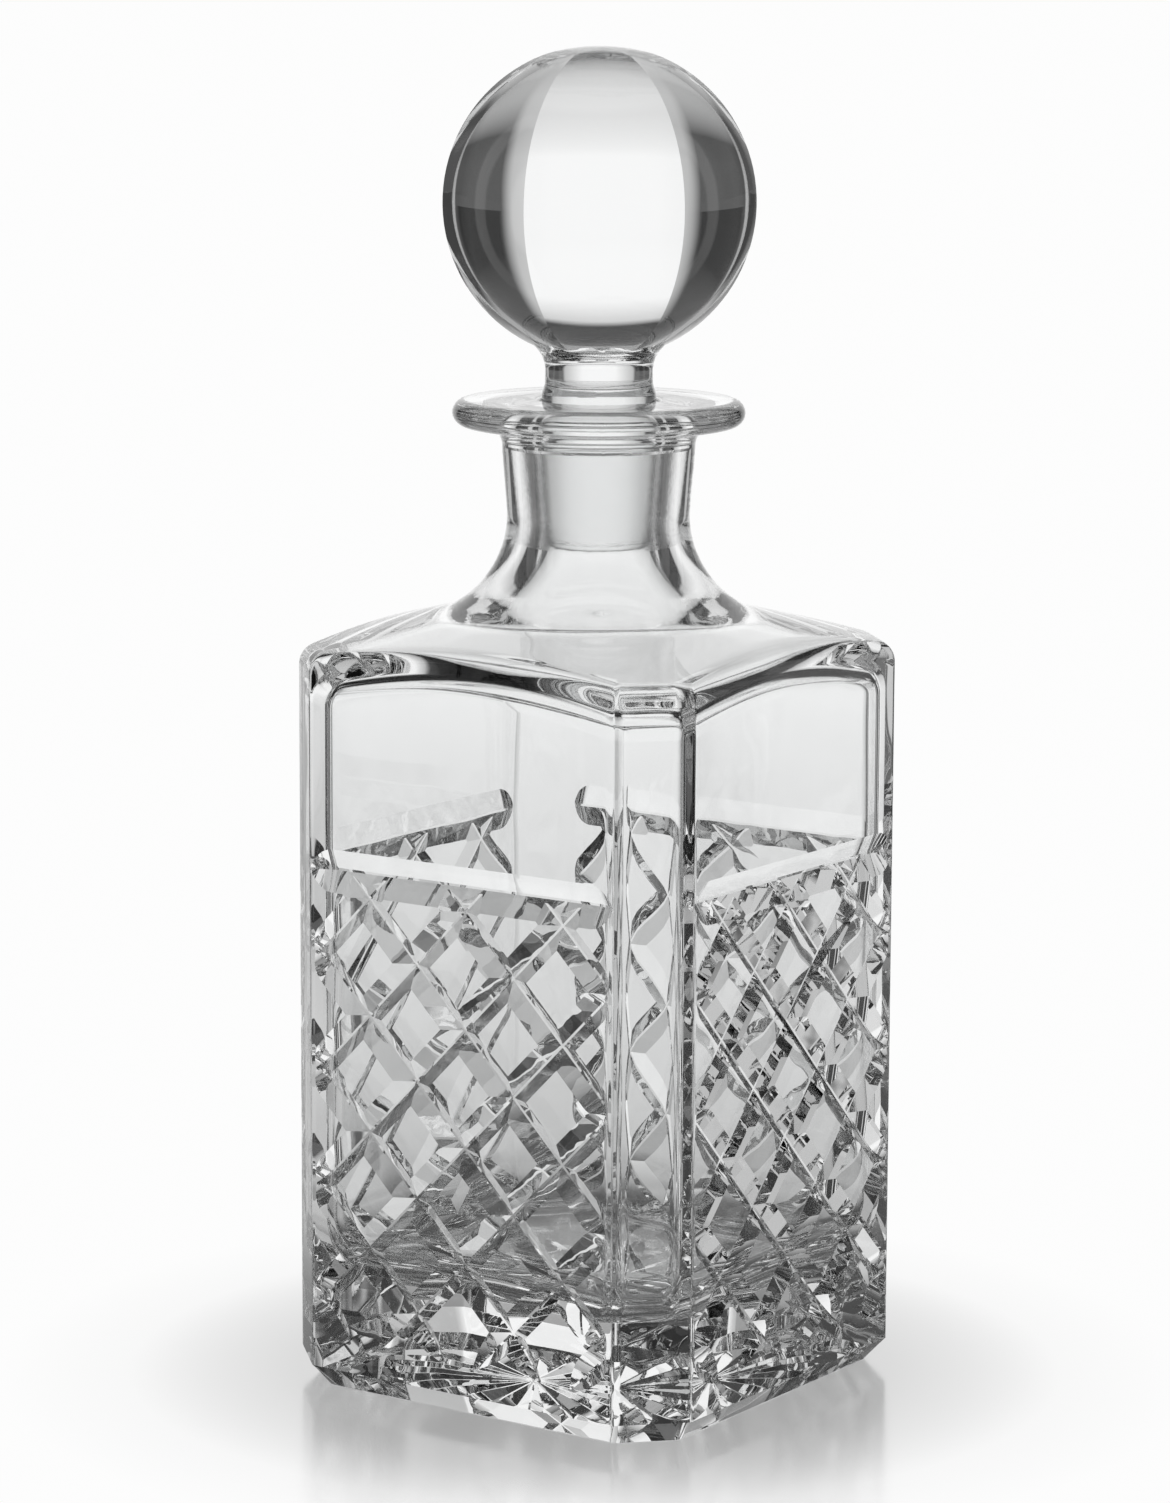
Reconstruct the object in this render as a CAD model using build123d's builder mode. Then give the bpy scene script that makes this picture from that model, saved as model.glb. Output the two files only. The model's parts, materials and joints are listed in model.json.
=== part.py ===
from build123d import *
import os
from math import acos, atan, cos, degrees, hypot, radians, sin, sqrt, tan

# A square decanter of cut crystal with a solid ball stopper ground into its neck.
# Millimetres, +Z up. The origin is the middle of the base, on the surface it stands on.

# Driving dimensions of the body.
body_width = 86.0              # across two opposite faces
face_width = 65.8              # flat part of a face, between the chamfered corners
base_bevel_in = 3.6            # the bevel round the foot of the body, inwards
base_bevel_height = 4.2        # and upwards
floor_height = 20.0            # thickness of the solid base, under the hollow
wall = 5.0                     # thickness of the sides
shoulder_apex = 147.6          # height at which the shoulder slope would meet the axis
shoulder_slope = 0.242         # fall of the shoulder for each millimetre outwards
shoulder_round = 4.0           # rounding where the shoulder turns into the faces
neck_radius = 16.5
flare_radius = 19.0            # the curve from the neck out to the shoulder
rim_radius = 26.4
rim_top = 179.3
rim_thickness = 4.8
collar_out = 0.9               # the neck's slight widening under the rim
collar_drop = 4.5              # how far below the rim the curve into it starts
collar_round = 3.6             # and how far out it ends

corner_turn = radians(22.5)    # half the turn from a face into a chamfered corner

# Driving dimensions of the hollow, the bore and the ground plug that fills the bore.
hollow_apex = 146.8            # height at which the hollow's own slope would meet the axis
hollow_slope = 0.36            # steeper than the outside, so the shoulder is thickest at its edge
hollow_flare_radius = 20.0
hollow_corner_bow = 60.0       # radius of the nearly flat corner panels of the hollow
hollow_edge_round = 7.0        # rounding beside those corner panels
hollow_floor_round = 11.0
hollow_shoulder_round = 6.0
plug_top = 170.6               # upper end of the ground taper
plug_end = 152.2               # lower end of the stopper
plug_top_radius = 10.4
plug_end_radius = 8.9
plug_round = 1.5               # rounding of its lower edge
plug_clearance = 0.08          # all round, between the ground surfaces
bore_lead = 0.6                # height of the short cone above the ground taper
mouth_radius = 10.9            # the bore above that
mouth_round = 1.0

# Driving dimensions of the stopper above the rim.
ball_middle = 214.4
ball_radius = 28.1             # out to the edges between the panels
ball_panels = 6
ball_top = 242.2
crown_radius = 34.0            # the gentle dome that closes the panels at the top
stem_radius = 9.7
stem_top = 184.4               # where the stem begins to swell out into the ball
stem_swell = 6.0               # radius of that swelling curve
stem_swell_turn = 52.0         # and how far it turns, in degrees
stem_foot_radius = 10.3
stem_foot_low = 0.6            # the curve into the wider foot of the stem, above the rim,
stem_foot_high = 3.2           # from here up to here
seat_out = 1.2                 # the short cone inside the ball's lower end, outwards
seat_up = 1.9                  # and upwards
plug_step_out = 0.5            # the small waist where the ground taper begins, inwards
plug_step_up = 0.9             # its height
plug_step_top = 1.6            # and the height at which it has widened out again
stopper_turn = 36.3            # how far the stopper stands turned from the faces, in degrees

# Driving dimensions of the cutting, the same on all four faces.
lattice_width = 63.2
diamond_columns = 6            # half diamonds across one face
diamond_rise = 10.7            # height of half a diamond
lattice_foot = 17.0            # height of the lowest crossings
lattice_rows = 7               # half diamonds from there up to the level cut
groove_half_width = 2.8
groove_depth = 1.9
leaf_reach = 10.5              # the long pointed ends below the lowest crossings
edge_reach = 4.0               # the short pointed ends beside the chamfered corners
level_cut_height = 96.4
level_cut_half_width = 3.9
level_cut_depth = 2.3
level_cut_reach = 5.0          # its pointed ends
level_cut_step = 0.42          # how far the lattice runs into the level cut, in half diamonds
lift = 0.6                     # how far a cutter stands out of the glass

longest_level_edge = 6.0       # no edge along the shoulder rises more than this
nearly_all = 0.97              # an edge farther out than this share belongs to the sides

os.makedirs("parts", exist_ok=True)


def chamfered_square(width, flat):
    """The eight corners of a square whose own corners are cut off between flats."""
    half = width / 2
    side = flat / 2
    corners = []
    for quarter in range(4):
        c = cos(radians(90 * quarter))
        s = sin(radians(90 * quarter))
        for x, y in ((half, -side), (half, side)):
            corners.append((x * c - y * s, x * s + y * c))
    return corners


def flare_centre(inner_radius, curve_radius, apex, slope):
    """Centre of the arc that is tangent to an upright line and to a shoulder slope."""
    across = inner_radius + curve_radius
    up = apex - slope * across + curve_radius * sqrt(1 + slope**2)
    return across, up


def flare_outline(inner_radius, curve_radius, apex, slope):
    """Start, middle and end of that arc, from the slope up to the upright line."""
    across, up = flare_centre(inner_radius, curve_radius, apex, slope)
    tilt = atan(slope)
    steps = []
    for share in (0.0, 0.5, 1.0):
        turn = radians(270) - tilt - share * (radians(90) - tilt)
        steps.append((across + curve_radius * cos(turn), up + curve_radius * sin(turn)))
    return steps


def shoulder_edges(piece, width):
    """The edges between the upright sides of that width and the shoulder slope."""
    chosen = []
    for edge in piece.edges():
        middle = edge.center()
        level = edge.bounding_box().size.Z < longest_level_edge
        outside = hypot(middle.X, middle.Y) > nearly_all * width / 2
        if level and outside and middle.Z > level_cut_height:
            chosen.append(edge)
    return chosen


# ---------------------------------------------------------------------------
# Hollow of the body: the bore, the space for the drink, its rounded floor.
# ---------------------------------------------------------------------------
hollow_width = body_width - 2 * wall
hollow_flat = face_width - 2 * wall * tan(corner_turn)
far_out = body_width
bore_taper = (plug_top_radius - plug_end_radius) / (plug_top - plug_end)
bore_top_radius = plug_top_radius + plug_clearance
taper_foot = flare_centre(plug_end_radius, hollow_flare_radius, hollow_apex, hollow_slope)[1]
taper_foot_radius = bore_top_radius - bore_taper * (plug_top - taper_foot)

with BuildPart() as hollow:
    with BuildSketch(Plane.XY.offset(floor_height)) as hollow_section:
        with BuildLine():
            corners = chamfered_square(hollow_width, hollow_flat)
            for side in range(4):
                start = corners[2 * side]
                end = corners[2 * side + 1]
                following = corners[(2 * side + 2) % 8]
                Line(start, end)
                RadiusArc(end, following, -hollow_corner_bow)
        make_face()
        fillet(hollow_section.vertices(), radius=hollow_edge_round)
    extrude(amount=rim_top - floor_height)
    with BuildSketch(Plane.XZ):
        with BuildLine():
            hollow_far_up = hollow_apex - hollow_slope * far_out
            bore_flare = flare_outline(taper_foot_radius, hollow_flare_radius, hollow_apex, hollow_slope)
            Line((0, 0), (far_out, 0))
            Line((far_out, 0), (far_out, hollow_far_up))
            Line((far_out, hollow_far_up), bore_flare[0])
            ThreePointArc(*bore_flare)
            Line(bore_flare[2], (bore_top_radius, plug_top))
            Line((bore_top_radius, plug_top), (mouth_radius, plug_top + bore_lead))
            Line((mouth_radius, plug_top + bore_lead), (mouth_radius, rim_top))
            Line((mouth_radius, rim_top), (0, rim_top))
            Line((0, rim_top), (0, 0))
        make_face()
    revolve(axis=Axis.Z, mode=Mode.INTERSECT)
    floor_edges = hollow.edges().group_by(Axis.Z)[0]
    fillet(floor_edges, radius=hollow_floor_round)
    fillet(shoulder_edges(hollow, hollow_width), radius=hollow_shoulder_round)


# ---------------------------------------------------------------------------
# Cutters of one face, drawn for the face that looks along -Y. A cutting wheel leaves a V groove
# that comes to a point where the wheel lifts out of the glass.
# ---------------------------------------------------------------------------
column = lattice_width / diamond_columns
outward = Vector(0, -1, 0)


def groove_profile(half_width, depth):
    """The V of a cutting wheel, its point in the glass and its wide end outside."""
    wide = half_width * (depth + lift) / depth
    Polygon((-depth, 0), (lift, -wide), (lift, wide), align=None)


def cut_groove(start, heading, reach, half_width, depth, low_reach, high_reach):
    """A groove at full depth along its reach, then pointed at either end unless that is 0."""
    direction = heading.normalized()
    ends = ((low_reach, start, -1), (high_reach, start + direction * reach, 1))
    for point_reach, foot, way in ends:
        plane = Plane(origin=foot, x_dir=outward, z_dir=direction)
        with BuildSketch(plane, mode=Mode.PRIVATE) as section:
            groove_profile(half_width, depth)
        if point_reach > 0:
            wheel = (point_reach**2 + depth**2) / (2 * depth)
            hub = foot + outward * (wheel - depth)
            arc_out = degrees(acos((wheel - depth - lift) / wheel))
            revolve(section.sketch, axis=Axis(hub, plane.y_dir * way), revolution_arc=arc_out)
        if way < 0 and reach > 0:
            extrude(section.sketch, amount=reach)


with BuildPart() as face_cutter:
    for lean in (1, -1):
        heading = Vector(lean * column, 0, diamond_rise)
        for first in range(1 - lattice_rows, diamond_columns + 1, 2):
            low = max(0, -first)
            high = min(lattice_rows + level_cut_step, diamond_columns - first)
            left = (first + low) * column - lattice_width / 2
            start = Vector(lean * left, -body_width / 2, lattice_foot + low * diamond_rise)
            reach = (high - low) * heading.length
            low_reach = leaf_reach if first > 0 else edge_reach
            high_reach = edge_reach if high < lattice_rows else 0
            if first <= 0:
                start = start + heading.normalized() * edge_reach
                reach = reach - edge_reach
            if first == diamond_columns:
                start = start - heading.normalized() * edge_reach
                low_reach = leaf_reach - edge_reach
            elif high_reach > 0:
                reach = reach - edge_reach
            cut_groove(start, heading, reach, groove_half_width, groove_depth, low_reach, high_reach)
    level_reach = face_width - 2 * level_cut_reach
    level_start = Vector(-level_reach / 2, -body_width / 2, level_cut_height)
    cut_groove(level_start, Vector(1, 0, 0), level_reach, level_cut_half_width, level_cut_depth,
               level_cut_reach, level_cut_reach)


# ---------------------------------------------------------------------------
# Decanter body: bevelled foot, four faces, shoulder, neck and pouring rim in one piece of glass.
# ---------------------------------------------------------------------------
with BuildPart() as decanter_body:
    with BuildSketch(Plane.XY):
        foot_flat = face_width - 2 * base_bevel_in * tan(corner_turn)
        Polygon(*chamfered_square(body_width - 2 * base_bevel_in, foot_flat), align=None)
    with BuildSketch(Plane.XY.offset(base_bevel_height)):
        Polygon(*chamfered_square(body_width, face_width), align=None)
    loft()
    with BuildSketch(Plane.XY.offset(base_bevel_height)):
        Polygon(*chamfered_square(body_width, face_width), align=None)
    extrude(amount=rim_top - base_bevel_height)
    with BuildSketch(Plane.XZ):
        rim_half = rim_thickness / 2
        rim_middle = rim_top - rim_half
        with BuildLine():
            far_up = shoulder_apex - shoulder_slope * far_out
            neck_flare = flare_outline(neck_radius, flare_radius, shoulder_apex, shoulder_slope)
            under_rim = rim_top - rim_thickness
            collar = (neck_radius + collar_out, under_rim - collar_drop)
            collar_end = (neck_radius + collar_round, under_rim)
            neck_lean = (collar_out, collar[1] - neck_flare[2][1])
            Line((0, 0), (far_out, 0))
            Line((far_out, 0), (far_out, far_up))
            Line((far_out, far_up), neck_flare[0])
            ThreePointArc(*neck_flare)
            Line(neck_flare[2], collar)
            TangentArc(collar, collar_end, tangent=neck_lean)
            Line(collar_end, (rim_radius - rim_half, under_rim))
            ThreePointArc((rim_radius - rim_half, under_rim), (rim_radius, rim_middle),
                          (rim_radius - rim_half, rim_top))
            Line((rim_radius - rim_half, rim_top), (0, rim_top))
            Line((0, rim_top), (0, 0))
        make_face()
    revolve(axis=Axis.Z, mode=Mode.INTERSECT)
    fillet(shoulder_edges(decanter_body, body_width), radius=shoulder_round)
    add(hollow.part, mode=Mode.SUBTRACT)
    mouth_edges = decanter_body.edges().filter_by(GeomType.CIRCLE).filter_by(
        lambda edge: abs(edge.radius - mouth_radius) < 0.01 and edge.center().Z > rim_middle
    )
    fillet(mouth_edges, radius=mouth_round)
    with PolarLocations(0, 4):
        add(face_cutter.part, mode=Mode.SUBTRACT)


# ---------------------------------------------------------------------------
# Stopper: a solid ball cut into upright panels, a short stem and the ground plug.
# ---------------------------------------------------------------------------
with BuildPart() as stopper:
    for pair in range(ball_panels // 2):
        facing = radians(stopper_turn - 90 + pair * 360 / ball_panels)
        normal = Vector(cos(facing), sin(facing), 0)
        along = Vector(-sin(facing), cos(facing), 0)
        end = Vector(0, 0, ball_middle) - along * (ball_radius + 1)
        with BuildSketch(Plane(origin=end, x_dir=normal, z_dir=along)):
            Ellipse(ball_radius * cos(radians(180 / ball_panels)), ball_radius)
        extrude(amount=2 * (ball_radius + 1), mode=Mode.ADD if pair == 0 else Mode.INTERSECT)
    with Locations((0, 0, ball_top - crown_radius)):
        Sphere(crown_radius, mode=Mode.INTERSECT)
    with BuildSketch(Plane.XZ):
        with BuildLine():
            swell = radians(stem_swell_turn)
            swell_top = (stem_radius + stem_swell * (1 - cos(swell)), stem_top + stem_swell * sin(swell))
            seat = (swell_top[0] + seat_out, swell_top[1] + seat_up)
            foot_low = (stem_foot_radius, rim_top + stem_foot_low)
            foot_high = (stem_radius, rim_top + stem_foot_high)
            step_top = (stem_foot_radius, plug_top + plug_step_top)
            step_waist = (stem_foot_radius - plug_step_out, plug_top + plug_step_up)
            round_start = plug_end + plug_round
            side_radius = plug_end_radius + bore_taper * plug_round
            Line((0, seat[1]), seat)
            Line(seat, swell_top)
            TangentArc((stem_radius, stem_top), swell_top, tangent=(0, 1))
            Line((stem_radius, stem_top), foot_high)
            TangentArc(foot_high, foot_low, tangent=(0, -1))
            Line(foot_low, step_top)
            Line(step_top, step_waist)
            Line(step_waist, (plug_top_radius, plug_top))
            Line((plug_top_radius, plug_top), (side_radius, round_start))
            TangentArc((side_radius, round_start), (side_radius - plug_round, plug_end),
                       tangent=(-bore_taper, -1))
            Line((side_radius - plug_round, plug_end), (0, plug_end))
            Line((0, plug_end), (0, seat[1]))
        make_face()
    revolve(axis=Axis.Z)


pieces = {"decanter_body": decanter_body, "stopper": stopper}
for node, piece in pieces.items():
    piece.part.label = node
    export_step(piece.part, f"parts/{node}.step")
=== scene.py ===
import json
from math import acos, atan, cos, hypot, pi, radians, sin, sqrt

import bmesh
import bpy
from mathutils import Matrix, Vector

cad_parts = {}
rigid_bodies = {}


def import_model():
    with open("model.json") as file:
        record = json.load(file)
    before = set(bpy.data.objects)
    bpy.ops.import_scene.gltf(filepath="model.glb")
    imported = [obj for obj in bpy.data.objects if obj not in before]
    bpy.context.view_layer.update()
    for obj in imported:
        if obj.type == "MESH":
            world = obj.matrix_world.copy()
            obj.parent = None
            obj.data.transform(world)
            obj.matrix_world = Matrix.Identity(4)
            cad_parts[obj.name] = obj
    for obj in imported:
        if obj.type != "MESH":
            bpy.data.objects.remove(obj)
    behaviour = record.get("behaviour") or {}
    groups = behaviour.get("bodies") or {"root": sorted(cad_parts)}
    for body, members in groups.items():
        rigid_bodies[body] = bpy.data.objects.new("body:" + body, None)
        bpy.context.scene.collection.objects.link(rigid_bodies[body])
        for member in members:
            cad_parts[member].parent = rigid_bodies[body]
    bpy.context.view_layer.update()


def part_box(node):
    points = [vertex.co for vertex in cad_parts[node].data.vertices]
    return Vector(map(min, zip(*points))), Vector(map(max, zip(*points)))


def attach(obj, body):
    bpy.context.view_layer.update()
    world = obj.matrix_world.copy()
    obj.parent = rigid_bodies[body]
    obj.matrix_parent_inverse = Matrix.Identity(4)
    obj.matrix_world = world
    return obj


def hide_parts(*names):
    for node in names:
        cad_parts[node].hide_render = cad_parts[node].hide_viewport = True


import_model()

bpy.ops.object.select_all(action="DESELECT")

# ---------------------------------------------------------------------------------------------
# Decanter body. One heavy piece of clear crystal glass, blown into a square mould with cut-off
# corners: a bevelled foot, a drawn-in neck and a flat pouring rim. Its hollow is fire-smooth, and
# the socket in the neck is ground to a taper.
# ---------------------------------------------------------------------------------------------
top_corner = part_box("decanter_body")[1]
half_width = top_corner.x
rim_top = top_corner.z
face_flat = 0.0658
corner_distance = (half_width + face_flat / 2) / sqrt(2)
foot_inset = 0.0036
foot_height = 0.0042
shoulder_apex = 0.1476
shoulder_slope = 0.242
shoulder_round = 0.0040
neck_radius = 0.0165
flare_radius = 0.0190
collar_out = 0.0009
collar_drop = 0.0045
collar_round = 0.0036
rim_radius = 0.0264
rim_thickness = 0.0048
wall = 0.0050
hollow_apex = 0.1468
hollow_slope = 0.36
hollow_flare_radius = 0.0200
hollow_shoulder_round = 0.0060
hollow_floor_round = 0.0110
floor_height = 0.0200
floor_middle = 0.0040
outside_crispness = 600
inside_crispness = 150
mouth_radius = 0.0109
mouth_round = 0.0010
bore_lead = 0.0006
plug_top = 0.1706
plug_end = 0.1522
plug_top_radius = 0.0104
plug_end_radius = 0.0089
plug_clearance = 0.00008
bore_taper = (plug_top_radius - plug_end_radius) / (plug_top - plug_end)

# The upright lines that the body is drawn on, in degrees, crowded where the crisp corners pass.
eighth = (0, 4, 8, 12, 16, 20, 24, 27, 30, 32, 33.5, 35, 36, 36.8, 37.2, 37.42, 37.65, 38.1,
          39, 40, 41, 42.2, 43.5)
quarter = list(eighth) + [45] + [90 - turn for turn in reversed(eighth[1:])]
body_turns = [radians(turn + 90 * side) for side in range(4) for turn in quarter]


def outline(turn, flat_distance, corner, crispness):
    """Distance from the axis to a square with cut-off corners, whose edges are a little round."""
    pulls = (abs(cos(turn)) / flat_distance, abs(sin(turn)) / flat_distance,
             abs(cos(turn - pi / 4)) / corner, abs(cos(turn + pi / 4)) / corner)
    most = max(pulls)
    return 1 / (most * sum((pull / most) ** crispness for pull in pulls) ** (1 / crispness))


def arc(centre, radius, first, last, steps):
    """Points along an arc, as (distance from the axis, height), without its first point."""
    turns = [first + (last - first) * step / steps for step in range(1, steps + 1)]
    return [(centre[0] + radius * cos(turn), centre[1] + radius * sin(turn)) for turn in turns]


def line(start, end, steps):
    """Points along a straight line, without its first point."""
    shares = [step / steps for step in range(1, steps + 1)]
    return [(start[0] + (end[0] - start[0]) * share, start[1] + (end[1] - start[1]) * share)
            for share in shares]


def shoulder_corner(reach, radius, apex, slope, steps):
    """The rounding between an upright wall at that reach and a shoulder slope."""
    across = reach - radius
    up = apex - slope * across - radius * sqrt(1 + slope ** 2)
    return [(reach, up)] + arc((across, up), radius, 0, pi / 2 - atan(slope), steps)


def flare(inner, radius, apex, slope, steps):
    """The curve from a shoulder slope up into an upright neck or bore of that radius."""
    across = inner + radius
    up = apex - slope * across + radius * sqrt(1 + slope ** 2)
    first = 3 * pi / 2 - atan(slope)
    start = (across + radius * cos(first), up + radius * sin(first))
    return [start] + arc((across, up), radius, first, pi, steps)


def body_profile(turn):
    """One upright line of the body: up the outside, over the rim, and down inside to the floor."""
    foot = outline(turn, half_width - foot_inset, corner_distance - foot_inset,
                   outside_crispness)
    side = outline(turn, half_width, corner_distance, outside_crispness)
    points = [(foot, 0.0), (side, foot_height)]
    corner = shoulder_corner(side, shoulder_round, shoulder_apex, shoulder_slope, 9)
    points += line(points[-1], corner[0], 3) + corner[1:]
    neck = flare(neck_radius, flare_radius, shoulder_apex, shoulder_slope, 18)
    points += line(points[-1], neck[0], 9) + neck[1:]
    rim_half = rim_thickness / 2
    under = rim_top - rim_thickness
    points += line(points[-1], (neck_radius + collar_out, under - collar_drop), 4)
    points += arc((points[-1][0] + collar_round, under - collar_round), collar_round, pi, pi / 2, 7)
    points += line(points[-1], (rim_radius - rim_half, under), 3)
    points += arc((rim_radius - rim_half, under + rim_half), rim_half, -pi / 2, pi / 2, 14)
    points += line(points[-1], (mouth_radius + mouth_round, rim_top), 4)
    points += arc((mouth_radius + mouth_round, rim_top - mouth_round), mouth_round, pi / 2, pi, 5)
    points += line(points[-1], (mouth_radius, plug_top + bore_lead), 3)
    points += [(plug_top_radius + plug_clearance, plug_top)]
    taper_foot = hollow_apex - hollow_slope * (plug_end_radius + hollow_flare_radius)
    taper_foot += hollow_flare_radius * sqrt(1 + hollow_slope ** 2)
    taper_foot_radius = points[-1][0] - bore_taper * (plug_top - taper_foot)
    bore = flare(taper_foot_radius, hollow_flare_radius, hollow_apex, hollow_slope, 18)
    points += line(points[-1], bore[-1], 6) + bore[-2::-1]
    inside = outline(turn, half_width - wall, corner_distance - wall, inside_crispness)
    corner = shoulder_corner(inside, hollow_shoulder_round, hollow_apex, hollow_slope, 10)
    points += line(points[-1], corner[-1], 8) + corner[-2::-1]
    points += line(points[-1], (inside, floor_height + hollow_floor_round), 4)
    points += arc((inside - hollow_floor_round, points[-1][1]), hollow_floor_round, 0, -pi / 2, 12)
    points += line(points[-1], (floor_middle, floor_height), 6)
    return points


same_place = 1e-7


def drawn_up(name, rings):
    """A filled ring, extruded again and again into the next ring of points, and closed."""
    bpy.ops.mesh.primitive_circle_add(vertices=len(rings[0]), radius=0.01, fill_type="NGON")
    piece = bpy.context.object
    piece.name = name
    bpy.ops.object.mode_set(mode="EDIT")
    bpy.ops.mesh.select_mode(type="EDGE")
    bpy.ops.mesh.select_all(action="SELECT")
    order = list(range(len(rings[0])))
    for place, ring in enumerate(rings):
        if place > 0:
            bpy.ops.mesh.extrude_edges_move()
        mesh = bmesh.from_edit_mesh(piece.data)
        mesh.verts.index_update()
        mesh.verts.ensure_lookup_table()
        if place > 0:
            last = [mesh.verts[index] for index in order]
            order = [next(edge.other_vert(vert).index for edge in vert.link_edges
                          if edge.other_vert(vert).select) for vert in last]
        for index, point in zip(order, ring):
            mesh.verts[index].co = point
    bpy.ops.mesh.edge_face_add()
    bpy.ops.mesh.select_all(action="SELECT")
    bpy.ops.mesh.remove_doubles(threshold=same_place)
    bpy.ops.mesh.normals_make_consistent(inside=False)
    bpy.ops.object.mode_set(mode="OBJECT")
    return piece


def rings_round_axis(profile_at, turns):
    """Rings of points round the axis, from the profile that each upright line has."""
    profiles = [profile_at(turn) for turn in turns]
    return [[(reach * cos(turn), reach * sin(turn), up) for (reach, up), turn in zip(level, turns)]
            for level in zip(*profiles)]


body = drawn_up("decanter_glass", rings_round_axis(body_profile, body_turns))

# A wavering surface: soft bumps of one size, stretched along the height, given out as a height.
ripple = bpy.data.node_groups.new("glass_ripple", "ShaderNodeTree")
for socket_name, value in (("Scale", 60.0), ("Detail", 1.0), ("Stretch", 1.0)):
    socket = ripple.interface.new_socket(socket_name, in_out="INPUT", socket_type="NodeSocketFloat")
    socket.default_value = value
ripple.interface.new_socket("Height", in_out="OUTPUT", socket_type="NodeSocketFloat")
given = ripple.nodes.new("NodeGroupInput")
result = ripple.nodes.new("NodeGroupOutput")
where = ripple.nodes.new("ShaderNodeTexCoord")
stretch = ripple.nodes.new("ShaderNodeCombineXYZ")
stretch.inputs["X"].default_value = 1.0
stretch.inputs["Y"].default_value = 1.0
ripple.links.new(given.outputs["Stretch"], stretch.inputs["Z"])
scaled = ripple.nodes.new("ShaderNodeVectorMath")
scaled.operation = "MULTIPLY"
ripple.links.new(where.outputs["Object"], scaled.inputs[0])
ripple.links.new(stretch.outputs["Vector"], scaled.inputs[1])
waves = ripple.nodes.new("ShaderNodeTexNoise")
ripple.links.new(scaled.outputs["Vector"], waves.inputs["Vector"])
ripple.links.new(given.outputs["Scale"], waves.inputs["Scale"])
ripple.links.new(given.outputs["Detail"], waves.inputs["Detail"])
ripple.links.new(waves.outputs["Fac"], result.inputs["Height"])


crystal_tint = (0.985, 0.99, 0.99, 1)
crystal_bending = 1.55


def crystal(name, scale, detail, stretch_up, bump_height, smoothest, dullest):
    """Clear crystal glass with its own ripple and its own evenness of polish."""
    made = bpy.data.materials.new(name)
    made.use_nodes = True
    tree = made.node_tree
    shader = tree.nodes["Principled BSDF"]
    shader.inputs["Base Color"].default_value = crystal_tint
    shader.inputs["IOR"].default_value = crystal_bending
    shader.inputs["Transmission Weight"].default_value = 1.0
    waver = tree.nodes.new("ShaderNodeGroup")
    waver.node_tree = ripple
    waver.inputs["Scale"].default_value = scale
    waver.inputs["Detail"].default_value = detail
    waver.inputs["Stretch"].default_value = stretch_up
    bump = tree.nodes.new("ShaderNodeBump")
    bump.inputs["Distance"].default_value = bump_height
    tree.links.new(waver.outputs["Height"], bump.inputs["Height"])
    tree.links.new(bump.outputs["Normal"], shader.inputs["Normal"])
    polish = tree.nodes.new("ShaderNodeMapRange")
    polish.inputs["To Min"].default_value = smoothest
    polish.inputs["To Max"].default_value = dullest
    tree.links.new(waver.outputs["Height"], polish.inputs["Value"])
    tree.links.new(polish.outputs["Result"], shader.inputs["Roughness"])
    return made


fire_polished = crystal("fire_polished_crystal", 70.0, 1.0, 0.6, 0.00012, 0.0, 0.003)
ground_joint = crystal("ground_crystal_joint", 700.0, 3.0, 3.0, 0.00005, 0.10, 0.30)
body.data.materials.append(fire_polished)
body.data.materials.append(ground_joint)
for polygon in body.data.polygons:
    middle = polygon.center
    if hypot(middle.x, middle.y) < mouth_radius and plug_end < middle.z < plug_top:
        polygon.material_index = 1

# ---------------------------------------------------------------------------------------------
# Cutting of the body. Fourteen slanting V grooves and one level groove on each face, and a star
# under the base, all cut into the glass with a wheel and polished. A groove comes to a point where
# the wheel lifts out, and has the wheel's narrow rounded tip along its bottom.
# ---------------------------------------------------------------------------------------------
lattice_width = 0.0632
columns = 6
column = lattice_width / columns
rise = 0.0107
lattice_foot = 0.0170
rows = 7
level_cut_step = 0.42
groove_half_width = 0.0028
groove_depth = 0.0019
leaf_reach = 0.0105
edge_reach = 0.0040
level_height = 0.0964
level_half_width = 0.0039
level_depth = 0.0023
level_point = 0.0050
star_grooves = 12
star_half_width = 0.0026
star_depth = 0.0012
star_reach = 0.0200
star_point = 0.0120
lift = 0.0006
wheel_tip = 0.00022
wheel_steps = 8
star_turn = 0.25
cut_edge_turn = 25
polished_cut = crystal("polished_cut_crystal", 260.0, 1.0, 1.0, 0.00003, 0.0, 0.004)
cutters = bpy.data.collections.new("cutters")
bpy.context.scene.collection.children.link(cutters)


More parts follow.
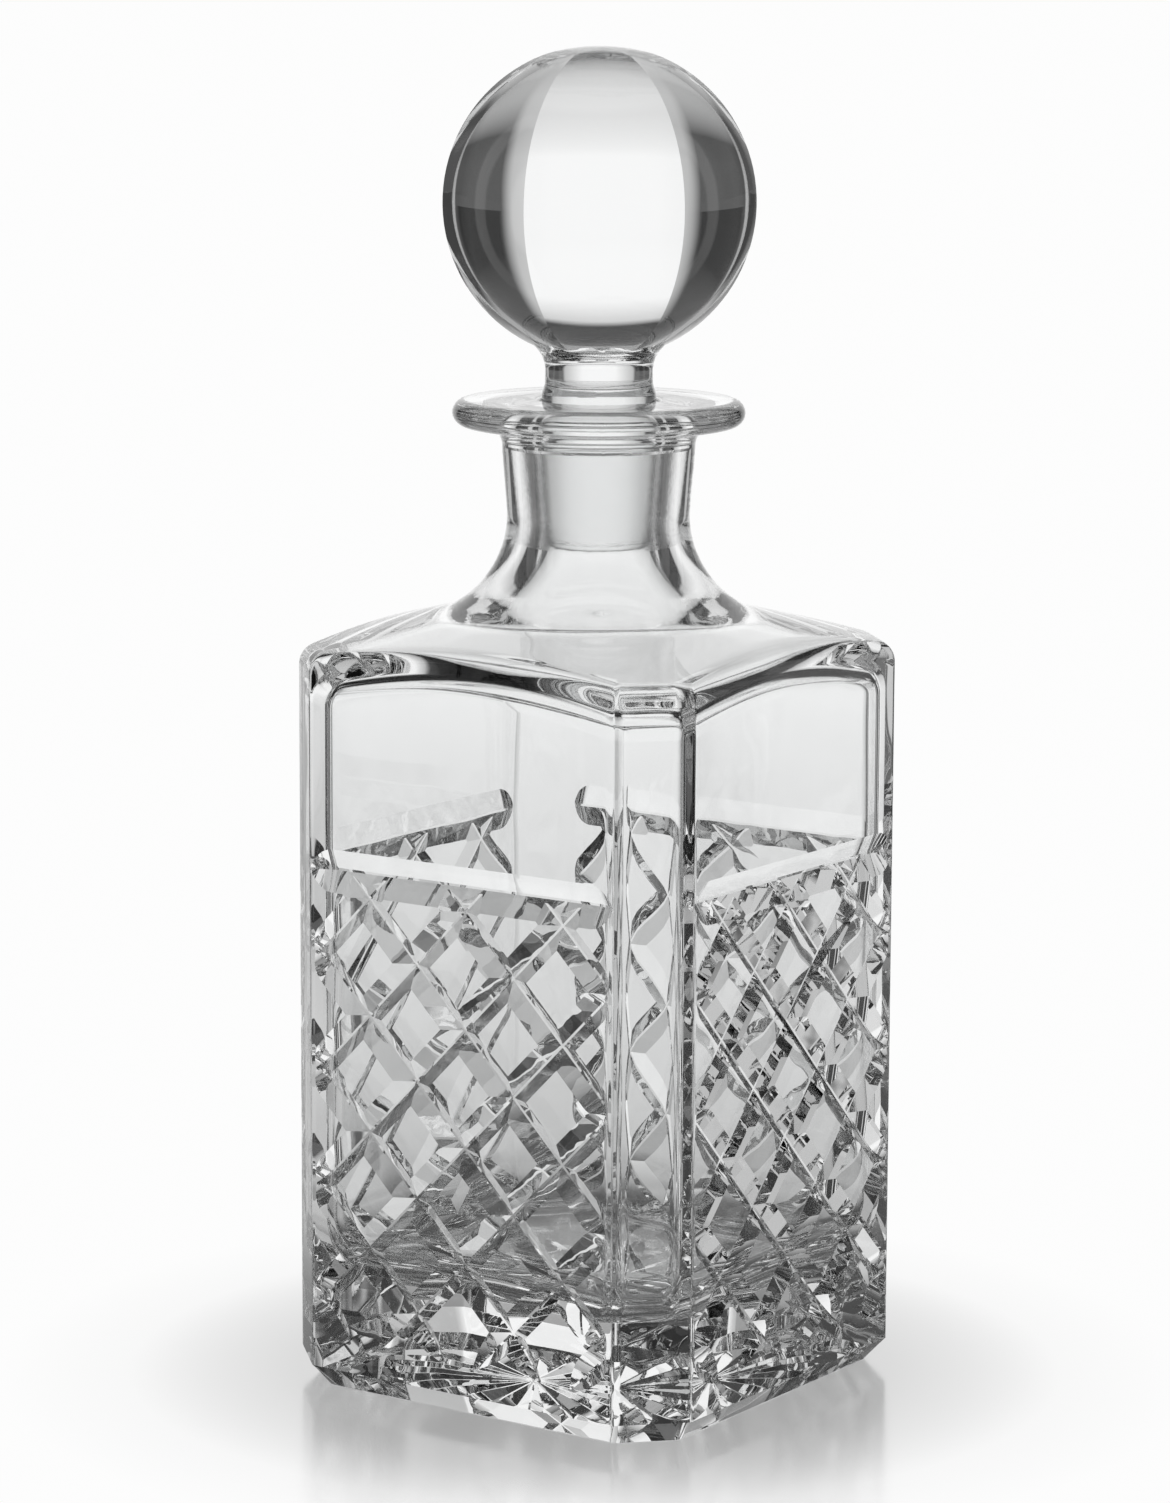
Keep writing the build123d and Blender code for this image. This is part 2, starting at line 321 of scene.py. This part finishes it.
def wheel_cut(name, start, heading, reach, half_v, depth, low_point, high_point, outward):
    """The space that a wheel sweeps: a V of full depth along its reach, pointed at its ends."""
    direction = heading.normalized()
    sideways = direction.cross(outward)
    ends = []
    for point, origin, way in ((low_point, 0.0, -1), (high_point, reach, 1)):
        stations = []
        if point > 0:
            wheel = (point ** 2 + depth ** 2) / (2 * depth)
            turns = [acos((wheel - depth - lift) / wheel) * step / wheel_steps
                     for step in range(1, wheel_steps + 1)]
            stations = [(origin + way * wheel * sin(turn), wheel - depth - wheel * cos(turn))
                        for turn in turns]
        ends.append(stations)
    full = [(0.0, -depth), (reach, -depth)] if reach > 0 else [(0.0, -depth)]
    rings = []
    for along, apex in ends[0][::-1] + full + ends[1]:
        middle = start + direction * along
        wide = max((lift - apex) * half_v / depth, 0)
        tip = min(wheel_tip, wide / 3)
        rings.append([middle + outward * apex - sideways * tip,
                      middle + outward * apex + sideways * tip,
                      middle + outward * lift + sideways * wide,
                      middle + outward * lift - sideways * wide])
    cutter = drawn_up(name, rings)
    cutter.data.materials.append(polished_cut)
    for owner in list(cutter.users_collection):
        owner.objects.unlink(cutter)
    cutters.objects.link(cutter)
    return cutter


def on_all_faces(cutter):
    """Copies of the front face's cutter for the other three faces, each with its own mesh."""
    for side in range(1, 4):
        twin = cutter.copy()
        twin.data = cutter.data.copy()
        twin.data.transform(Matrix.Rotation(side * pi / 2, 4, "Z"))
        cutters.objects.link(twin)


forward = Vector((0, -1, 0))
for lean in (1, -1):
    heading = Vector((lean * column, 0, rise))
    for first in range(1 - rows, columns + 1, 2):
        low = max(0, -first)
        high = min(rows + level_cut_step, columns - first)
        left = (first + low) * column - lattice_width / 2
        start = Vector((lean * left, -half_width, lattice_foot + low * rise))
        reach = (high - low) * heading.length
        low_point = leaf_reach if first > 0 else edge_reach
        high_point = edge_reach if high < rows else 0
        if first <= 0:
            start = start + heading.normalized() * edge_reach
            reach = reach - edge_reach
        if first == columns:
            start = start - heading.normalized() * edge_reach
            low_point = leaf_reach - edge_reach
        elif high_point > 0:
            reach = reach - edge_reach
        on_all_faces(wheel_cut(f"slant_{lean}_{first}", start, heading, reach, groove_half_width,
                               groove_depth, low_point, high_point, forward))
level_length = face_flat - 2 * level_point
on_all_faces(wheel_cut("level_cut", Vector((-level_length / 2, -half_width, level_height)),
                       Vector((1, 0, 0)), level_length, level_half_width, level_depth,
                       level_point, level_point, forward))
for ray in range(star_grooves):
    turn = pi * (ray + star_turn) / star_grooves
    heading = Vector((cos(turn), sin(turn), 0))
    wheel_cut(f"star_{ray}", heading * -star_reach, heading, 2 * star_reach, star_half_width,
              star_depth, star_point, star_point, Vector((0, 0, -1)))

bpy.ops.object.select_all(action="DESELECT")
body.select_set(True)
bpy.context.view_layer.objects.active = body
cutting = body.modifiers.new("cutting", "BOOLEAN")
cutting.operation = "DIFFERENCE"
cutting.operand_type = "COLLECTION"
cutting.collection = cutters
cutting.solver = "EXACT"
cutting.material_mode = "TRANSFER"
bpy.ops.object.modifier_apply(modifier=cutting.name)
for cutter in list(cutters.objects):
    bpy.data.objects.remove(cutter)
bpy.data.collections.remove(cutters)


def evenly_shaded(piece, sharp_turn):
    """Smooth shading over the round places, sharp at the edges, and level on the flat faces."""
    bpy.ops.object.select_all(action="DESELECT")
    piece.select_set(True)
    bpy.context.view_layer.objects.active = piece
    bpy.ops.object.shade_smooth()
    bpy.ops.object.shade_smooth_by_angle(angle=radians(sharp_turn))
    even = piece.modifiers.new("even shading", "WEIGHTED_NORMAL")
    even.keep_sharp = True
    even.weight = 100
    bpy.ops.object.modifier_apply(modifier=even.name)


evenly_shaded(body, cut_edge_turn)
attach(body, "body")
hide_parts("decanter_body")

# ---------------------------------------------------------------------------------------------
# Stopper. One solid piece of the same crystal: a ball cut into six upright, slightly bowed panels,
# a short stem that swells into it, and a taper plug ground into the neck, where it sits by itself.
# ---------------------------------------------------------------------------------------------
ball_middle = 0.2144
ball_radius = 0.0281
ball_top = 0.2422
crown_radius = 0.0340
panels = 6
panel_lines = 14
panel_bulge = 0.45
panel_angle = 2 * pi / panels
stopper_turn = radians(36.3 - 90)
stem_radius = 0.0097
stem_top = 0.1844
stem_swell = 0.0060
stem_swell_turn = radians(52)
stem_foot_radius = 0.0103
stem_foot_low = 0.0006
stem_foot_high = 0.0032
seat_out = 0.0012
seat_up = 0.0019
plug_round = 0.0015
plug_step_out = 0.0005
plug_step_up = 0.0009
plug_step_top = 0.0016
plug_end_middle = 0.0020
dome_middle = 0.0015
swell_lowest = 0.0020
swell_highest = 0.0120
crown_lowest = 0.0150
crown_highest = 0.0275
panel_edge_turn = 12


def panel_reach(turn, up):
    """Distance from the axis to the panelled ball at that turn and height."""
    fold = (turn - stopper_turn + panel_angle / 2) % panel_angle - panel_angle / 2
    flat = cos(panel_angle / 2) / cos(fold)
    ring = sqrt(max(ball_radius ** 2 - (up - ball_middle) ** 2, 0))
    return ring * (flat + panel_bulge * (1 - flat))


def crown_reach(up):
    """Distance from the axis to the dome that closes the ball."""
    return sqrt(max(crown_radius ** 2 - (up - ball_top + crown_radius) ** 2, 0))


def swell_reach(up):
    """Distance from the axis to the curve that swells out of the stem, and to the cone above it."""
    swell_end = stem_top + stem_swell * sin(stem_swell_turn)
    swell_out = stem_radius + stem_swell * (1 - cos(stem_swell_turn))
    if up < swell_end:
        return stem_radius + stem_swell - sqrt(stem_swell ** 2 - (up - stem_top) ** 2)
    return swell_out + (up - swell_end) * seat_out / seat_up


def meeting(gap, low, high):
    """The height between low and high at which the gap changes sign."""
    starts_open = gap(low) > 0
    for _ in range(40):
        middle = (low + high) / 2
        if (gap(middle) > 0) == starts_open:
            low = middle
        else:
            high = middle
    return (low + high) / 2


def stopper_profile(turn):
    """One upright line of the stopper, from the middle of the plug's end to the top of the dome."""
    side = plug_end_radius + bore_taper * plug_round
    points = [(plug_end_middle, plug_end)]
    points += line(points[-1], (side - plug_round, plug_end), 4)
    points += arc((side - plug_round, plug_end + plug_round), plug_round, -pi / 2, -bore_taper, 6)
    points += line(points[-1], (plug_top_radius, plug_top), 8)
    points += [(stem_foot_radius - plug_step_out, plug_top + plug_step_up)]
    points += [(stem_foot_radius, plug_top + plug_step_top)]
    points += line(points[-1], (stem_foot_radius, rim_top + stem_foot_low), 4)
    for step in range(1, 6):
        share = step / 5
        ease = share * share * (3 - 2 * share)
        points.append((stem_foot_radius + (stem_radius - stem_foot_radius) * ease,
                       rim_top + stem_foot_low + (stem_foot_high - stem_foot_low) * share))
    points += line(points[-1], (stem_radius, stem_top), 2)
    foot = meeting(lambda up: panel_reach(turn, up) - swell_reach(up), stem_top + swell_lowest,
                   stem_top + swell_highest)
    for step in range(1, 10):
        up = stem_top + (foot - stem_top) * step / 9
        points.append((swell_reach(up), up))
    edge = meeting(lambda up: crown_reach(up) - panel_reach(turn, up), ball_middle + crown_lowest,
                   ball_middle + crown_highest)
    first = pi / 2 - acos((foot - ball_middle) / ball_radius)
    last = pi / 2 - acos((edge - ball_middle) / ball_radius)
    for reach, up in arc((0, ball_middle), ball_radius, first, last, 40):
        points.append((panel_reach(turn, up), up))
    for reach, up in line(points[-1], (dome_middle, ball_top), 7):
        points.append((reach, ball_top - crown_radius + sqrt(crown_radius ** 2 - reach ** 2)))
    return points


stopper_turns = sorted((stopper_turn + panel_angle * (panel + step / panel_lines - 0.5)) % (2 * pi)
                       for panel in range(panels) for step in range(panel_lines))
stopper = drawn_up("stopper_glass", rings_round_axis(stopper_profile, stopper_turns))
stopper.data.materials.append(fire_polished)
stopper.data.materials.append(ground_joint)
for polygon in stopper.data.polygons:
    if plug_end + plug_round < polygon.center.z < plug_top and abs(polygon.normal.z) < 0.5:
        polygon.material_index = 1
evenly_shaded(stopper, panel_edge_turn)
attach(stopper, "stopper")
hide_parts("stopper")

# ---------------------------------------------------------------------------------------------
# Table. A plain white top that gives off its own light, with a soft sheen near the foot. Looked at
# directly it is near white with a painted round of shade. To rays that come through or off the
# glass its glow is painted light and shade: nearly black under the base, lighter further out and
# on the lit side.
# ---------------------------------------------------------------------------------------------
view_turn = 34.425
# Light by turn round from the lit side: the studio's lamps and flags, also painted onto the table.
sector = ((0.0, 1.0), (0.07, 1.0), (0.12, 0.75), (0.165, 0.55), (0.185, 0.03), (0.32, 0.02),
          (0.35, 0.10), (0.36, 0.6), (0.39, 0.6), (0.40, 0.04), (0.46, 0.04), (0.47, 0.8),
          (0.53, 0.8), (0.54, 0.04), (0.84, 0.04), (0.88, 0.35), (1.0, 0.35))
table_radius = 16.0
table_gap = 0.0001
# Painted shade: the table's glow to rays through or off the glass, by distance from the middle,
# nearly black under the base and lighter further out, in place of a cast shadow.
table_light = ((0.0, 0.05), (0.06, 0.07), (0.085, 0.38), (0.15, 0.56), (0.3, 0.74), (0.8, 1.0))
# Painted shadow: the round of shade seen directly under the decanter, fixed on the table.
table_shade = ((0.0, 0.50), (0.055, 0.66), (0.085, 0.98), (1.0, 0.98))
# Painted light and shade by side on the table's glow to the glass: where it starts out from the
# middle, and its darkest level.
side_shade_start = ((0.0, 0.0), (0.15, 0.0), (0.5, 1.0), (1.0, 1.0))
side_shade_least = 0.10
sheen_reach = ((0.0, 0.45), (0.065, 0.42), (0.11, 0.0), (1.0, 0.0))
sheen_roughness = 0.16
bpy.ops.object.select_all(action="DESELECT")
bpy.ops.mesh.primitive_circle_add(vertices=128, radius=table_radius, fill_type="NGON")
table = bpy.context.object
table.name = "table_top"
bpy.ops.object.mode_set(mode="EDIT")
bpy.ops.transform.translate(value=(0, 0, -table_gap))
bpy.ops.object.mode_set(mode="OBJECT")
table_white = bpy.data.materials.new("table_white")
table_white.use_nodes = True
tree = table_white.node_tree
tree.nodes.remove(tree.nodes["Principled BSDF"])


def sum_of(kind, first, second=None):
    """One arithmetic node of the tree at hand, fed with numbers or with other nodes."""
    node = tree.nodes.new("ShaderNodeMath")
    node.operation = kind
    for socket, value in zip(node.inputs, (first, second)):
        if isinstance(value, (int, float)):
            socket.default_value = value
        elif value is not None:
            tree.links.new(value, socket)
    return node.outputs["Value"]


def greys(value, stops):
    """A grey ramp through stops of (place, level)."""
    node = tree.nodes.new("ShaderNodeValToRGB")
    tree.links.new(value, node.inputs["Fac"])
    while len(node.color_ramp.elements) < len(stops):
        node.color_ramp.elements.new(0.5)
    for element, (position, level) in zip(node.color_ramp.elements, stops):
        element.position = position
        element.color = (level, level, level, 1)
    return node.outputs["Color"]


def chosen(factor, low, high):
    """From low to high as the factor goes from 0 to 1."""
    node = tree.nodes.new("ShaderNodeMix")
    tree.links.new(factor, node.inputs["Factor"])
    for name, value in (("A", low), ("B", high)):
        if isinstance(value, (int, float)):
            node.inputs[name].default_value = value
        else:
            tree.links.new(value, node.inputs[name])
    return node.outputs["Result"]


def away_from_light(vector):
    """The vector's parts once turned to the lit side, and how far round from it, 0 to 1."""
    turner = tree.nodes.new("ShaderNodeVectorRotate")
    turner.rotation_type = "Z_AXIS"
    turner.inputs["Angle"].default_value = -radians(view_turn)
    tree.links.new(vector, turner.inputs["Vector"])
    parts = tree.nodes.new("ShaderNodeSeparateXYZ")
    tree.links.new(turner.outputs["Vector"], parts.inputs["Vector"])
    round_angle = sum_of("ARCTAN2", parts.outputs["X"], parts.outputs["Y"])
    return parts, sum_of("DIVIDE", sum_of("ABSOLUTE", round_angle), pi)


place = tree.nodes.new("ShaderNodeTexCoord")
distance = tree.nodes.new("ShaderNodeVectorMath")
distance.operation = "LENGTH"
tree.links.new(place.outputs["Object"], distance.inputs[0])
distance = distance.outputs["Value"]
parts, around = away_from_light(place.outputs["Object"])
lit = greys(distance, table_light)
painted_side_shade = sum_of("MAXIMUM", greys(around, sector), side_shade_least)
painted_side_shade = chosen(greys(distance, side_shade_start), 1.0, painted_side_shade)
painted_shade_seen = greys(distance, table_shade)
path = tree.nodes.new("ShaderNodeLightPath")
glow = tree.nodes.new("ShaderNodeEmission")
# Camera rays see the painted round of shade; glass rays see the painted glow and painted side
# shade.
tree.links.new(chosen(path.outputs["Is Camera Ray"], sum_of("MULTIPLY", lit, painted_side_shade), painted_shade_seen),
               glow.inputs["Strength"])
sheen = tree.nodes.new("ShaderNodeBsdfGlossy")
sheen.inputs["Roughness"].default_value = sheen_roughness
mirror = tree.nodes.new("ShaderNodeMixShader")
tree.links.new(greys(distance, sheen_reach), mirror.inputs["Fac"])
tree.links.new(glow.outputs["Emission"], mirror.inputs[1])
tree.links.new(sheen.outputs["BSDF"], mirror.inputs[2])
tree.links.new(mirror.outputs["Shader"], tree.nodes["Material Output"].inputs["Surface"])
table.data.materials.append(table_white)

# ---------------------------------------------------------------------------------------------
# Studio and camera. To the glass, a white wall that glows behind the decanter, black flags at both
# sides of it that draw the glass's edges, narrow upright lamps beyond them, and a lamp overhead.
# They stand still in the room. Looked at directly, the room is near white all round.
# ---------------------------------------------------------------------------------------------
wall_bands = ((0.0, 1.0), (0.64, 1.0), (0.70, 0.7), (0.72, 0.05), (0.86, 0.04), (0.90, 0.9),
              (1.0, 1.0))
overhead_lamp = ((0.0, 0.0), (0.86, 0.0), (0.90, 0.9), (1.0, 1.0))
room_white = 0.98
world = bpy.data.worlds.new("studio")
bpy.context.scene.world = world
world.use_nodes = True
tree = world.node_tree
place = tree.nodes.new("ShaderNodeTexCoord")
parts, around = away_from_light(place.outputs["Generated"])
up = sum_of("DIVIDE", sum_of("ARCSINE", parts.outputs["Z"]), pi)
height = sum_of("ADD", up, 0.5)
bands = greys(height, wall_bands)
overhead = greys(height, overhead_lamp)
studio = sum_of("MAXIMUM", sum_of("MULTIPLY", greys(around, sector), bands), overhead)
path = tree.nodes.new("ShaderNodeLightPath")
tree.links.new(chosen(path.outputs["Is Camera Ray"], studio, room_white),
               tree.nodes["Background"].inputs["Color"])

view_yaw = 0.139
view_pitch = 9.574
view_roll = 0.217
view_distance = 0.93205
view_height = 0.27216
view_lens = 124.48
glass_bounces = 32
mirror_bounces = 16
camera_data = bpy.data.cameras.new("camera")
camera_data.lens = view_lens
camera_data.sensor_width = 36
camera_data.clip_end = 40
camera = bpy.data.objects.new("camera", camera_data)
bpy.context.scene.collection.objects.link(camera)
azimuth = radians(view_turn)
stand = Matrix.Translation((view_distance * sin(azimuth), -view_distance * cos(azimuth),
                            view_height))
pan = Matrix.Rotation(azimuth + radians(view_yaw), 4, "Z")
tilt = Matrix.Rotation(pi / 2 - radians(view_pitch), 4, "X")
camera.matrix_world = stand @ pan @ tilt @ Matrix.Rotation(radians(view_roll), 4, "Z")
scene = bpy.context.scene
scene.camera = camera
scene.view_settings.view_transform = "Standard"
scene.cycles.max_bounces = glass_bounces
scene.cycles.transmission_bounces = glass_bounces
scene.cycles.glossy_bounces = mirror_bounces
